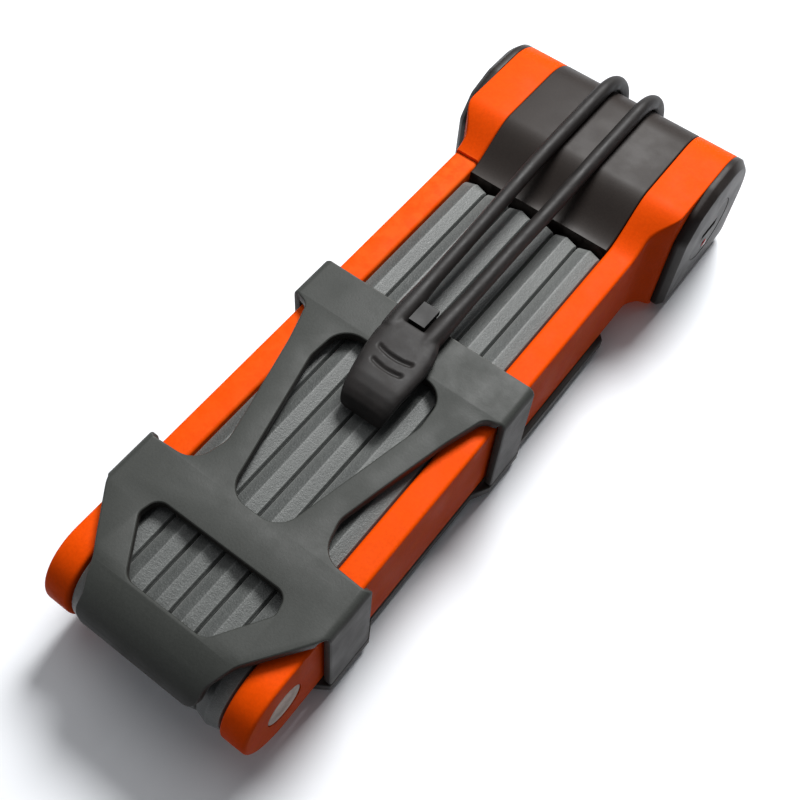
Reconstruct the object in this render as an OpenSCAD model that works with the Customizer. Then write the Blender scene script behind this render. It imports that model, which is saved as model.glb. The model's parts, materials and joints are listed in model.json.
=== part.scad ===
// Folding bike lock with eight links, folded and strapped into its frame holder.
// It lies on the holder's back: X runs across the links, Y from the tail to the
// lock head, Z from the bike frame out to the front face.
// Inside the modules, y = 0 is the tail pivot axis and z = 0 is the top edge of
// the links; seat() moves that to the part's own frame.

/* [Links] */
// Distance between the two pivots of a link
pivot_span = 120; // [100:1:130]
// Height of a link across its long edges
link_h = 25; // [22:0.5:26]
// Thickness of an inner link's textured cover
inner_t = 6.7; // [6:0.1:7.5]
// Thickness of an outer orange link
outer_t = 7; // [6:0.1:8]
// Free gap between neighbouring links
link_gap = 0.3; // [0.3:0.1:0.6]
// Height of the roof-shaped ridge along an inner link's edge
ridge_h = 0.8; // [0.4:0.1:1.2]
// Width of the steep bevel below the ridge, which opens a groove between links
bevel_w = 0.3; // [0.2:0.1:0.9]

/* [Link cores and rivets] */
// Thickness of the hardened steel core in each link
core_t = 4.4; // [3.5:0.1:4.6]
// Radius of a rivet's shank
rivet_r = 3.5; // [3:0.1:4]
// Radius of a rivet's flat head
rivet_head_r = 5.2; // [4.8:0.1:5.6]
// Radial clearance of a rivet in the link that turns on it
rivet_fit = 0.05; // [0.02:0.01:0.1]

/* [Lock head] */
// Height of the head's front face above the link edges
head_rise = 7.9; // [6:0.1:10]
// Depth of the head's back below the link edges
head_drop = 30; // [28:0.5:32]
// Half width of the head without its side caps
head_half_w = 32.5; // [31:0.5:35]
// Thickness of a side cap
cap_t = 3.4; // [2:0.1:4]
// Angle that the key turns from open to locked
key_turn = 90; // [60:5:90]

/* [Holder] */
// Half width of the cage over its side walls
cage_half_w = 30.6; // [30:0.1:33]
// Wall thickness of the cage
cage_t = 2.7; // [2:0.1:2.8]
// Thickness of the back plate
back_t = 3; // [2.5:0.1:3.5]
// Hole-to-hole distance of the bottle cage mount
mount_pitch = 64; // [60:1:70]
// Radius of a mounting hole
mount_hole_r = 2.75; // [2.6:0.05:3]

/* [Strap] */
// Radius of one rubber cord
cord_r = 2; // [1.5:0.05:2.5]
// Distance of each cord from the middle plane, over the head
cord_x = 5.7; // [5:0.1:8]

/* [Hidden] */
$fn = 64;

// Colours
orange = [0.95, 0.36, 0.05];
grip_grey = [0.42, 0.43, 0.42];
plate_grey = [0.3, 0.3, 0.29];
cap_black = [0.16, 0.14, 0.13];
steel = [0.72, 0.72, 0.7];
rubber_black = [0.2, 0.18, 0.17];

// Place of the links' coordinates in the part's own frame
seat_y = -90.3;
seat_z = 31;

// Links
pitch = inner_t + link_gap;
stack_half_w = 3 * pitch + link_gap / 2 + outer_t;
mid_z = -link_h / 2;
end_r = link_h / 2;
edge_chamfer = 0.9;
bevel_depth = 1.5;
tip_y = 135;
tip_r = 4;
core_r = 10.4;
core_fit = 0.03;
free_end_y = 139;

// Rivets and washers
head_t = 1;
head_sink = 0.15;
head_fit = 0.1;
washer_t = 1.2;
washer_r = 7;
washer_pocket = 0.5;
washer_fit = 0.1;

// Lock head, all in link coordinates
core_half_w = 3 * pitch;
head_front_y = 135.6;
head_bend_y = 152.5;
head_flat_y = 172;
head_back_y = 189;
head_round_z = -12;
shoulder_start_y = 142;
shoulder_full_y = 151;
left_seam_y = free_end_y + 0.2;
head_bottom_round = 4;
cap_bevel = 1.7;
key_y = 170;
key_z = -12;
cylinder_r = 8.95;
plug_r = 5.5;
disc_r = 4.2;
disc_count = 8;
disc_pitch = 3;
fit = 0.05;
crank_r = 3.5;
crank_pin_r = 1.5;
bolt_travel = 2 * crank_r * sin(key_turn / 2);
bolt_x = -26.9;
bolt_t = 4.3;
pocket_x = -27.6;
pocket_w = 1 - core_half_w - pocket_x;
groove_half_w = 11.6;
groove_z = -24.4;
// Each rod's y, z, radius and half length
rod_places = [[182.5, -20, 2, 32], [182.5, -4, 2, 32], [145.5, 0.2, 1.6, 28.5]];
tongue_end_y = 160;
tongue_z = [-20, -5];
notch_y = [149.4, 158.6];
notch_z = -10.5;

// Holder
plate_top = 3.7;
plate_under = plate_top - cage_t;
side_t = 2;
back_top = -25.6;
back_under = back_top - back_t;
cup_half_w = 16.5;
cup_r = plate_top - mid_z;
cup_angle = 150;
back_start_y = -2;
cage_top_y = 87;
wall_upper = [74.5, cage_top_y];
wall_lower = [12, 26];
tongue_half_w = 11;
back_end_y = 145;
pin_y = 192;
pin_z = -27.6;
pin_r = 1.5;
knuckle_r = 2.7;
mount_mid_y = 56;
boss_r = 9;
screw_head_r = 5.2;
screw_head_h = 3;
pad_places = [7.5, 110];
pad_size = [36, 13.5];
peg_y = 83.8;

// Strap
cord_sides = 10;
cord_gap = 0.15;
cord_top_z = head_rise + cord_gap + cord_r;
cord_back_y = head_back_y + cord_gap + cord_r;
tab_z = 6.3;

module seat() { translate([0, seat_y, seat_z]) children(); }

// Turns a shape drawn in (y, z) and extruded upward so that it runs along +X from x0
module across(x0, width) {
    translate([x0, 0, 0]) rotate([90, 0, 90]) linear_extrude(width) children();
}

// A round bar along X, from x0 to x1, centred at (y, z)
module bar_x(r, x0, x1, y, z) {
    translate([x0, y, z]) rotate([0, 90, 0]) cylinder(r = r, h = x1 - x0);
}

// Middle of link k; link 1 is the outer one on the +X side
function link_x(k) =
    k == 1 ? stack_half_w - outer_t / 2
  : k == 8 ? outer_t / 2 - stack_half_w
  : core_half_w - pitch * (k - 1.5);
function link_t(k) = k == 1 || k == 8 ? outer_t : inner_t;
// Odd pivots are at the tail, even pivots at the head
function pivot_y(k) = k % 2 == 1 ? 0 : pivot_span;
function arc(cy, cz, ry, rz, a0, a1, n) =
    [for (i = [0:n]) let (a = a0 + (a1 - a0) * i / n) [cy + ry * cos(a), cz + rz * sin(a)]];

// ---------- links ----------

// Edge profile of a link, half of it, as (radius, x), for an edge of outer radius r
function edge_profile(k, r) =
    k == 1 || k == 8
    ? [[0, -outer_t / 2], [r - edge_chamfer, -outer_t / 2], [r, edge_chamfer - outer_t / 2],
       [r, outer_t / 2 - edge_chamfer], [r - edge_chamfer, outer_t / 2], [0, outer_t / 2]]
    : [[0, -inner_t / 2], [r - bevel_depth, -inner_t / 2], [r - ridge_h, bevel_w - inner_t / 2],
       [r, 0], [r - ridge_h, inner_t / 2 - bevel_w], [r - bevel_depth, inner_t / 2], [0, inner_t / 2]];

// Round part of a link's edge, centred at (y, z)
module link_disc(k, r, y, z) {
    translate([link_x(k), y, z]) rotate([0, 90, 0]) rotate_extrude() polygon(edge_profile(k, r));
}

module link_bar(k, y0, y1) {
    half = edge_profile(k, end_r);
    far = [for (p = half) [-p[0], p[1]]];
    translate([link_x(k), y1, mid_z]) rotate([90, 90, 0]) linear_extrude(y1 - y0)
        union() {
            polygon(half);
            polygon(far);
        }
}

// Squared-off head end of an inner link, which nearly meets the lock head
module link_tip(k) {
    y = tip_y - tip_r;
    low_z = tip_r - link_h;
    link_disc(k, tip_r, y, -tip_r);
    link_disc(k, tip_r, y, low_z);
    translate([link_x(k), y, low_z]) linear_extrude(link_h - 2 * tip_r)
        polygon([for (p = edge_profile(k, tip_r)) [p[1], p[0]]]);
}

module link_body(k) {
    link_disc(k, end_r, 0, mid_z);
    if (k == 1 || k == 8) link_bar(k, 0, free_end_y);
    else {
        link_bar(k, 0, tip_y - tip_r);
        link_tip(k);
    }
}

module core_shape(k, grow) {
    t = core_t / 2 + grow;
    r = core_r + grow;
    far_y = k == 1 ? 148 : pivot_span;
    x = link_x(k);
    bar_x(r, x - t, x + t, 0, mid_z);
    bar_x(r, x - t, x + t, far_y, mid_z);
    translate([x - t, 0, mid_z - r]) cube([2 * t, far_y, 2 * r]);
    if (k == 8) {
        translate([x - t, far_y, tongue_z[0] - grow])
            cube([2 * t, tongue_end_y - far_y, tongue_z[1] - tongue_z[0] + 2 * grow]);
    }
}

// Holes for the rivets of link k: shank bores, head sinks and washer pockets
module rivet_holes(k) {
    x = link_x(k);
    for (p = [k - 1, k]) if (p >= 1 && p <= 7) {
        y = pivot_y(p);
        outer = p == k ? 1 : -1;
        face = x + outer * link_t(k) / 2;
        inner = x - outer * link_t(k) / 2;
        bar_x(rivet_r + rivet_fit, x - 5, x + 5, y, mid_z);
        bar_x(rivet_head_r + head_fit, face - head_t - head_sink, face + head_t + head_sink, y, mid_z);
        bar_x(washer_r + washer_fit, inner - washer_pocket, inner + washer_pocket, y, mid_z);
    }
}

module link_cover(k) {
    color(k == 8 ? orange : grip_grey) seat() difference() {
        link_body(k);
        core_shape(k, core_fit);
        rivet_holes(k);
    }
}

module link_core(k) {
    color(steel) seat() difference() {
        core_shape(k, 0);
        for (p = [k - 1, k]) if (p >= 1 && p <= 7)
            bar_x(rivet_r + rivet_fit, link_x(k) - 5, link_x(k) + 5, pivot_y(p), mid_z);
        if (k == 8) {
            translate([link_x(k) - 5, notch_y[0], notch_z]) cube([10, notch_y[1] - notch_y[0], 10]);
        }
    }
}

// Rivet p holds links p and p + 1 together, its heads flush with their outer faces
module rivet(p) {
    x1 = link_x(p) + link_t(p) / 2 - head_sink;
    x0 = link_x(p + 1) - link_t(p + 1) / 2 + head_sink;
    y = pivot_y(p);
    color(steel) seat() {
        bar_x(rivet_r, x0, x1, y, mid_z);
        bar_x(rivet_head_r, x0, x0 + head_t, y, mid_z);
        bar_x(rivet_head_r, x1 - head_t, x1, y, mid_z);
    }
}

module washer(p) {
    mid_x = (link_x(p) - link_t(p) / 2 + link_x(p + 1) + link_t(p + 1) / 2) / 2;
    color("ivory") seat() difference() {
        bar_x(washer_r, mid_x - washer_t / 2, mid_x + washer_t / 2, pivot_y(p), mid_z);
        bar_x(rivet_r + 0.1, mid_x - washer_t, mid_x + washer_t, pivot_y(p), mid_z);
    }
}

// ---------- lock head ----------

// Front face of the head, rising from the link edges to the flat
function skirt(n) = [for (i = [0:n]) let (t = i / n)
    [head_front_y + (head_bend_y - head_front_y) * t, head_rise * t * t * (3 - 2 * t)]];
function head_back_arc(n) =
    arc(head_flat_y, head_round_z, head_back_y - head_flat_y, head_rise - head_round_z, 90, 0, n);
function head_floor(r) =
    arc(head_back_y - r, r - head_drop, r, r, 0, -90, 6);

module head_profile() {
    polygon(concat(
        [[head_front_y, mid_z * 2 + 0.4]], skirt(16), head_back_arc(16), head_floor(head_bottom_round),
        [[153, -head_drop], [148, mid_z * 2]]));
}

// Plan of the right shoulder from the core out to the cap, seen from the front
module shoulder_plan(front_y) {
    n = 8;
    flare = [for (i = [0:n]) let (t = i / n, s = t * t * (3 - 2 * t))
        [stack_half_w + (head_half_w - stack_half_w) * s,
         shoulder_start_y + (shoulder_full_y - shoulder_start_y) * t]];
    polygon(concat([[core_half_w + link_gap / 2, front_y]], [[stack_half_w, front_y]], flare,
        [[head_half_w, 200], [core_half_w + link_gap / 2, 200]]));
}

module shoulder(front_y) {
    intersection() {
        across(core_half_w, head_half_w - core_half_w) head_profile();
        translate([0, 0, -40]) linear_extrude(60) shoulder_plan(front_y);
    }
}

module rod_holes(grow) {
    for (p = rod_places) bar_x(p[2] + grow, -p[3] - grow, p[3] + grow, p[0], p[1]);
}

module cylinder_bore(x0, x1) { bar_x(cylinder_r + fit, x0, x1, key_y, key_z); }

module link_cover_1() {
    color(orange) seat() difference() {
        union() {
            link_body(1);
            shoulder(head_front_y);
        }
        core_shape(1, core_fit);
        rivet_holes(1);
        cylinder_bore(core_half_w - 1, head_half_w + 1);
        rod_holes(0.02);
    }
}

module shoulder_left() {
    color(orange) seat() difference() {
        mirror([1, 0, 0]) shoulder(left_seam_y);
        // Slot that takes the steel tongue of link 8
        translate([pocket_x, left_seam_y - 1, tongue_z[0] - 0.5])
            cube([pocket_w, tongue_end_y - left_seam_y + 2, tongue_z[1] - tongue_z[0] + 1]);
        // Room for the bolt and the crank
        translate([pocket_x, notch_y[0], -21]) cube([pocket_w, 28.8, 25.2]);
        rod_holes(0.02);
    }
}

module head_core() {
    color(plate_grey) seat() difference() {
        across(-core_half_w, 2 * core_half_w) head_profile();
        // Groove that rides on the holder's tongue
        translate([-groove_half_w, 120, -40]) cube([2 * groove_half_w, 80, 40 + groove_z]);
        cylinder_bore(2, core_half_w + 1);
        bar_x(3 + 0.1, -core_half_w - 1, 3, key_y, key_z);
        rod_holes(0.02);
    }
}

// Outline of a side cap, with its front corner cut back
module cap_outline() {
    intersection() {
        head_profile();
        polygon([[150.6, -27], [150.6, -2], [155.5, 5], [164, head_rise + 1], [200, head_rise + 1],
                 [200, -head_drop], [153, -head_drop]]);
    }
}

module cap_body() {
    hull() {
        across(head_half_w, cap_t - cap_bevel) cap_outline();
        across(head_half_w + cap_t - 0.4, 0.4) offset(delta = -cap_bevel) cap_outline();
    }
}

module cap_right() {
    color(cap_black) seat() difference() {
        cap_body();
        cylinder_bore(head_half_w - 1, head_half_w + 0.5);
        bar_x(9.6, head_half_w + 0.5, head_half_w + 5, key_y, key_z);
    }
}

module cap_left() { color(cap_black) seat() mirror([1, 0, 0]) cap_body(); }

module head_rods() { color(steel) seat() rod_holes(0); }

// ---------- lock mechanism ----------

module lock_cylinder() {
    color("goldenrod") seat() difference() {
        bar_x(cylinder_r, 3, head_half_w + 0.4, key_y, key_z);
        bar_x(plug_r + fit, 2, head_half_w + 1, key_y, key_z);
    }
}

module key_slot(x0, x1) {
    translate([x0, key_y - 1.1, key_z - 3]) cube([x1 - x0, 2.2, 6]);
}

module key_plug() {
    color("gold") seat() difference() {
        bar_x(plug_r, 3.2, head_half_w + 0.4, key_y, key_z);
        bar_x(disc_r + fit, 6, head_half_w - 1.5, key_y, key_z);
        key_slot(20, head_half_w + 2);
        // Slot that the sidebar drops into
        translate([8, key_y - 0.8, key_z + 4]) cube([20, 1.6, 4]);
        // Square seat of the crank's shaft
        translate([2, key_y - 2, key_z - 2]) cube([3, 4, 4]);
    }
}

module disc_pack() {
    color("silver") seat() difference() {
        for (i = [0:disc_count - 1])
            bar_x(disc_r, 6.3 + disc_pitch * i, 8.9 + disc_pitch * i, key_y, key_z);
        key_slot(2, head_half_w);
    }
}

module sidebar() {
    color(steel) seat() translate([8.2, key_y - 0.7, key_z + 4.3]) cube([19.6, 1.4, 1.1]);
}

// Shaft from the plug to the bolt, with a disc and an off-centre pin on its end
module tail_crank() {
    pin_angle = key_turn / 2;
    color(steel) seat() {
        translate([2, key_y - 1.95, key_z - 1.95]) cube([2.9, 3.9, 3.9]);
        bar_x(3, -core_half_w - 0.2, 2, key_y, key_z);
        bar_x(5.2, bolt_x + bolt_t + 0.2, -core_half_w - 0.1, key_y, key_z);
        bar_x(crank_pin_r, bolt_x, bolt_x + bolt_t + 0.3,
            key_y + crank_r * cos(pin_angle), key_z + crank_r * sin(pin_angle));
    }
}

// Hooked plate that drops into the notch of link 8's tongue
module locking_bolt() {
    slot_z = key_z + bolt_travel / 2;
    slot_half_h = crank_pin_r + 0.25;
    color(steel) seat() difference() {
        across(bolt_x, bolt_t) difference() {
            polygon([[150.2, -4.4], [157.8, -4.4], [157.8, 0.5], [163, 0.5], [163, -14.5],
                     [177.4, -14.5], [177.4, 3.5], [150.2, 3.5]]);
            translate([key_y + 0.6, slot_z - slot_half_h]) square([4.8, 2 * slot_half_h]);
        }
        translate([bolt_x + bolt_t / 2, 166.5, -3]) cylinder(r = 1.6, h = 10);
    }
}

// Points of a coil around +Z
function coil(x, y, z0, z1, r, turns, steps) =
    [for (i = [0:turns * steps]) let (a = 360 * i / steps)
        [x + r * cos(a), y + r * sin(a), z0 + (z1 - z0) * i / (turns * steps)]];

// Round tube swept along points, its rings held square to the path
module sweep(path, r, sides, side_axis) {
    n = len(path);
    rings = [for (i = [0:n - 1])
        let (a = path[max(i - 1, 0)], b = path[min(i + 1, n - 1)],
             t = (b - a) / norm(b - a),
             u0 = cross(side_axis, t), u = u0 / norm(u0), v = cross(t, u))
        for (j = [0:sides - 1]) path[i] + r * cos(360 * j / sides) * u + r * sin(360 * j / sides) * v];
    sides_faces = [for (i = [0:n - 2]) for (j = [0:sides - 1]) let (k = (j + 1) % sides)
        [i * sides + j, (i + 1) * sides + j, (i + 1) * sides + k, i * sides + k]];
    caps = [[for (j = [0:sides - 1]) j],
            [for (j = [sides - 1:-1:0]) (n - 1) * sides + j]];
    polyhedron(rings, concat(sides_faces, caps), convexity = 6);
}

module bolt_spring() {
    color("silver") seat()
        sweep(coil(bolt_x + bolt_t / 2, 166.5, -2.6, 3.8, 1.15, 6, 12), 0.35, 6, [0, 0, 1]);
}

module dust_cover() {
    color(cap_black) seat() difference() {
        bar_x(9.5, head_half_w + 0.55, head_half_w + cap_t - 0.1, key_y, key_z);
        translate([head_half_w, key_y - 4, key_z - 1.2]) cube([5, 8, 2.4]);
        bar_x(1.3, head_half_w, head_half_w + 5, key_y, key_z - 5.6);
    }
}

module dust_knob() {
    color("red") seat() {
        bar_x(1.3, head_half_w + 0.55, head_half_w + cap_t + 0.3, key_y, key_z - 5.6);
    }
}

// ---------- holder ----------

// Right half of the cage's front outline, from the top edge to the tail
half_outline = concat(
    [[0, cage_top_y], [cage_half_w, cage_top_y], [cage_half_w, wall_upper[0]],
     [26.5, wall_upper[0] - 1], [22.6, 64], [17.2, 43]],
    arc(24, 34, 7.6, 8.8, 165, 270, 8),
    [[cage_half_w, 24.8], [cage_half_w, wall_lower[0]], [26, 6.5], [21.7, 0.6], [21.3, -0.1], [0, -0.1]]);

module rounded(r) { offset(r = r) offset(delta = -r) children(); }

module trapezoid_window() {
    half = [[17.4, 14.2], [18.4, 9.4], [10.4, -2.9]];
    rounded(2.6) polygon(concat(half, [for (i = [2:-1:0]) [-half[i][0], half[i][1]]]));
}

module teardrop_window() {
    half = [[15.2, 73], [15.2, 63], [6.6, 24.3]];
    rounded(5.4) polygon(concat(half, [for (i = [2:-1:0]) [-half[i][0], half[i][1]]]));
}

module front_plate() {
    difference() {
        translate([0, 0, plate_under]) linear_extrude(cage_t) difference() {
            rounded(0.8) union() {
                polygon(half_outline);
                mirror([1, 0]) polygon(half_outline);
            }
            trapezoid_window();
            teardrop_window();
        }
        translate([0, peg_y, 0]) cylinder(r = 1.5, h = 5);
    }
}

// Lip that rolls over the links' tail ends, narrower than the plate and round-cornered
module cup() {
    inner_r = cup_r - cage_t;
    half = [[21.3, 0], [18.8, -3.5], [cup_half_w, -9], [16.2, -11.2], [15.2, -12.9], [12.8, -14.2],
            [0, -14.2], [0, 0]];
    intersection() {
        across(-22, 44) polygon(concat(arc(0, mid_z, cup_r, cup_r, 90, cup_angle, 16),
            arc(0, mid_z, inner_r, inner_r, cup_angle, 90, 16)));
        translate([0, 0, mid_z]) linear_extrude(20) {
            polygon(half);
            mirror([1, 0]) polygon(half);
        }
    }
}

module side_wall(span, bottom) {
    translate([cage_half_w - side_t, span[0], bottom])
        cube([side_t, span[1] - span[0], plate_top - bottom]);
}

module holder_cage() {
    color(plate_grey) seat() {
        front_plate();
        cup();
        for (side = [0, 1]) mirror([side, 0, 0]) {
            side_wall(wall_upper, back_top);
            side_wall(wall_lower, back_top);
        }
    }
}

module back_outline() {
    w = cage_half_w;
    n = 28.2;
    half = [[0, back_start_y], [cup_half_w, back_start_y], [cup_half_w, 3], [w, wall_lower[0]],
            [w, wall_lower[1]], [n, 30], [n, 70], [w, wall_upper[0]], [w, cage_top_y],
            [29.4, cage_top_y + 3], [29.4, 130], [tongue_half_w + 4, back_end_y],
            [tongue_half_w, back_end_y + 3], [tongue_half_w, pin_y], [0, pin_y]];
    polygon(half);
    mirror([1, 0]) polygon(half);
}

module mount_places() {
    for (side = [-1, 1]) translate([0, mount_mid_y + side * mount_pitch / 2, 0]) children();
}

module holder_back() {
    color(cap_black) seat() difference() {
        union() {
            translate([0, 0, back_under]) linear_extrude(back_t) back_outline();
            mount_places() translate([0, 0, -seat_z]) cylinder(r = boss_r, h = back_top + seat_z);
            bar_x(knuckle_r, -tongue_half_w, tongue_half_w, pin_y, pin_z);
        }
        mount_places() translate([0, 0, -40]) cylinder(r = mount_hole_r, h = 30);
        mount_places() translate([0, 0, back_top - screw_head_h]) cylinder(r = screw_head_r, h = 10);
        for (x = [-cord_x, cord_x])
            translate([x - cord_r - 0.2, pin_y - knuckle_r - 0.6, pin_z - 5])
                cube([2 * cord_r + 0.4, 10, 10]);
        bar_x(pin_r, -20, 20, pin_y, pin_z);
    }
}

module frame_pads() {
    color(rubber_black) seat() for (y = pad_places)
        translate([-pad_size[0] / 2, y - pad_size[1] / 2, -seat_z])
            cube([pad_size[0], pad_size[1], back_under + seat_z]);
}

// Stem through the plate, square neck and a cap that overhangs toward the pull tab
module strap_peg() {
    neck = [4.2, 4.8];
    cap = [4.4, 6.2];
    color("dimgray") seat() {
        translate([0, peg_y, plate_under]) cylinder(r = 1.45, h = cage_t + 1);
        translate([-neck[0] / 2, peg_y - 1.4, plate_top]) cube([neck[0], neck[1], 3.6]);
        translate([-cap[0] / 2, peg_y - 2, plate_top + 3.4]) cube([cap[0], cap[1], 1.6]);
    }
}

module strap_pin() {
    color(steel) seat() bar_x(pin_r - 0.02, 0.3 - tongue_half_w, tongue_half_w - 0.3, pin_y, pin_z);
}

// Middle line of the right cord, from the anchor pin over the head to the pull tab
function over_head() = arc(head_flat_y, head_round_z, cord_back_y - head_flat_y,
    cord_top_z - head_round_z, 0, 90, 10);
function cord_path() = concat(
    [[cord_x, cord_back_y, pin_z + 2], [cord_x, cord_back_y, -20]],
    [for (p = over_head()) [cord_x, p[0], p[1]]],
    [[cord_x, 162, cord_top_z], [cord_x, 152, cord_top_z], [5.7, 142, 9.6], [5.5, 128, 8.8],
     [5.2, 114, 8.1], [5.1, 102, 7.5], [5.2, 94, 7.1], [5.2, 88, 6.8], [5, 82, 6.5], [4.6, 78, 6.3]]);

// The pull tab leans a little to the right: middle of the tab at y
function tab_mid(y) = 0.4 + (84 - y) * 0.09;

// Two balls, half_w to either side of the tab's middle
module tab_row(y, z, half_w, r) {
    for (side = [-1, 1]) translate([tab_mid(y) + side * half_w, y, z]) sphere(r = r, $fn = 16);
}

module pull_tab() {
    hull() {
        tab_row(79.4, tab_z, 5.4, 2.1);
        tab_row(72, tab_z, 6.1, 2.1);
        tab_row(61.5, tab_z, 4.9, 2.1);
    }
    hull() {
        tab_row(61.5, tab_z, 4.9, 2.1);
        tab_row(59.2, 4.6, 4.5, 1.8);
    }
}

module strap() {
    color(rubber_black) seat() {
        for (side = [0, 1]) mirror([side, 0, 0]) {
            sweep(cord_path(), cord_r, cord_sides, [1, 0, 0]);
            difference() {
                bar_x(knuckle_r, cord_x - cord_r + 0.1, cord_x + cord_r - 0.1, pin_y, pin_z);
                bar_x(pin_r + 0.05, 0, 20, pin_y, pin_z);
            }
        }
        pull_tab();
    }
}

holder_cage();
holder_back();
frame_pads();
strap_peg();
strap_pin();
strap();
head_core();
shoulder_left();
cap_right();
cap_left();
head_rods();
lock_cylinder();
key_plug();
disc_pack();
sidebar();
tail_crank();
locking_bolt();
bolt_spring();
dust_cover();
dust_knob();
link_cover_1();
for (k = [2:8]) link_cover(k);
for (k = [1:8]) link_core(k);
for (k = [1:7]) rivet(k);
for (k = [1:7]) washer(k);
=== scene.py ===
"""Looks of the folding bike lock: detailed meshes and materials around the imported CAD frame."""
import bpy
import bmesh
import json
import math
from mathutils import Matrix, Vector


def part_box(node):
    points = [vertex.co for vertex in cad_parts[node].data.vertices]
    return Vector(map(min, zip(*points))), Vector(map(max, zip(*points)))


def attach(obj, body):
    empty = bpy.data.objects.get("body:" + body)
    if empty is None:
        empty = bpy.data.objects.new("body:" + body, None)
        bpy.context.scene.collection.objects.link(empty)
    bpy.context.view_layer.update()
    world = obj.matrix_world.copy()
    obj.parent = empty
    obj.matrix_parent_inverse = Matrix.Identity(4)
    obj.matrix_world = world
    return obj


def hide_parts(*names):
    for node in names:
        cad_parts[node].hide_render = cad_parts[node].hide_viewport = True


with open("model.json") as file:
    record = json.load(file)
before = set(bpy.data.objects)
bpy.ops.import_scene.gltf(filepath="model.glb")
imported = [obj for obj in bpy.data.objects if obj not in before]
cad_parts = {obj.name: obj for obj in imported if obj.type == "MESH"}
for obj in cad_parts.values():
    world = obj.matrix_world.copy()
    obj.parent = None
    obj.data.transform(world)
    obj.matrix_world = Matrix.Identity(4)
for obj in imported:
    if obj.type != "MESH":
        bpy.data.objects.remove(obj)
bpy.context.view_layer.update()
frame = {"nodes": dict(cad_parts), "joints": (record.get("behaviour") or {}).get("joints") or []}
NODES = frame["nodes"]
JOINTS = {j["name"]: j for j in frame["joints"]}

# ---------- places and sizes ----------
# Pieces are drawn in millimetres in the links' own coordinates: x = 0 is the middle
# plane, y = 0 the tail pivot axis and z = 0 the top edge of the folded links.

MM = 0.001
TAIL_Y = JOINTS["pivot_1"]["pos_m"][1] / MM
EDGE_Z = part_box("link_cover_2")[1].z / MM


def low(node):
    """Lowest corner of a CAD node, in link coordinates."""
    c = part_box(node)[0] / MM
    return Vector((c.x, c.y - TAIL_Y, c.z - EDGE_Z))


def high(node):
    """Highest corner of a CAD node, in link coordinates."""
    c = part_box(node)[1] / MM
    return Vector((c.x, c.y - TAIL_Y, c.z - EDGE_Z))


LINK_H = high("link_cover_3").z - low("link_cover_3").z
END_R = LINK_H / 2
MID_Z = -END_R
SPAN = JOINTS["pivot_2"]["pos_m"][1] / MM - TAIL_Y
TIP_Y = high("link_cover_3").y
TIP_R = 4
CORE_HALF = high("head_core").x
STACK_HALF = -low("link_cover_8").x
HEAD_HALF = -low("shoulder_left").x
CAP_OUT = -low("cap_left").x
HEAD_TOP = high("head_core").z
HEAD_LOW = low("head_core").z
HEAD_FRONT = low("head_core").y
HEAD_BACK = high("head_core").y
SEAM_Y = low("shoulder_left").y
KEY_Y = JOINTS["key_turn"]["pos_m"][1] / MM - TAIL_Y
KEY_Z = JOINTS["key_turn"]["pos_m"][2] / MM - EDGE_Z
CAGE_HALF = high("holder_cage").x
CAGE_TOP_Y = high("holder_cage").y
PLATE_TOP = high("holder_cage").z
BACK_TOP = -25.6
PIN_Y = JOINTS["strap_swing"]["pos_m"][1] / MM - TAIL_Y
PIN_Z = JOINTS["strap_swing"]["pos_m"][2] / MM - EDGE_Z

# Shape of the head
BEND_Y = 152.5
FLAT_Y = 172
ROUND_Z = -12
FLARE_Y = (142, 151)
BELLY_Y = (146, 153)
BOTTOM_R = 4

# Shape of the cage: front plate, side walls and the lip rolled over the tail
CAGE_T = 2.7
SIDE_T = 2.0
SIDE_BEND = 2.2
BEND_X = CAGE_HALF - SIDE_BEND
BEND_RUN = SIDE_BEND * math.pi / 2
LIP_R = PLATE_TOP - MID_Z
LIP_ANGLE = math.radians(60)
LIP_HALF = 16.5
WALL_UPPER = (74.5, CAGE_TOP_Y)
WALL_LOWER = (12, 26)


def to_world(p):
    """From link coordinates in millimetres to the shared frame in metres."""
    return Vector((p[0] * MM, (p[1] + TAIL_Y) * MM, (p[2] + EDGE_Z) * MM))


def to_link(p):
    """From the shared frame in metres to link coordinates in millimetres."""
    return Vector((p.x / MM, p.y / MM - TAIL_Y, p.z / MM - EDGE_Z))


def ease(t):
    """Smooth step from 0 to 1."""
    t = min(max(t, 0.0), 1.0)
    return t * t * (3 - 2 * t)


def arc(cy, cz, ry, rz, a0, a1, n):
    """Points on an ellipse, angles in degrees, both ends included."""
    out = []
    for i in range(n + 1):
        a = math.radians(a0 + (a1 - a0) * i / n)
        out.append((cy + ry * math.cos(a), cz + rz * math.sin(a)))
    return out


# ---------- mesh helpers ----------

def piece(name, bm, material, body, nodes, crease=35):
    """Turns a bmesh drawn in millimetres into a piece that rides on a body."""
    bmesh.ops.remove_doubles(bm, verts=bm.verts, dist=0.0005)
    bmesh.ops.recalc_face_normals(bm, faces=bm.faces)
    for v in bm.verts:
        v.co = to_world(v.co)
    mesh = bpy.data.meshes.new(name)
    bm.to_mesh(mesh)
    bm.free()
    mesh.polygons.foreach_set("use_smooth", [True] * len(mesh.polygons))
    mesh.set_sharp_from_angle(angle=math.radians(crease))
    obj = bpy.data.objects.new(name, mesh)
    bpy.context.scene.collection.objects.link(obj)
    obj.data.materials.append(material)
    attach(obj, body)
    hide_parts(*nodes)
    return obj


def add_ring(bm, points):
    """Vertices of a ring, with no edges yet."""
    return [bm.verts.new(p) for p in points]


def bridge(bm, a, b, closed=True):
    """Quads between two rings with the same number of points."""
    n = len(a)
    for i in range(n if closed else n - 1):
        j = (i + 1) % n
        bm.faces.new((a[i], a[j], b[j], b[i]))


def loft(bm, rings):
    """Closed tube through rings of points, with flat ends."""
    made = [add_ring(bm, r) for r in rings]
    for a, b in zip(made, made[1:]):
        bridge(bm, a, b)
    bm.faces.new(made[0])
    bm.faces.new(list(reversed(made[-1])))
    return made


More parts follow.
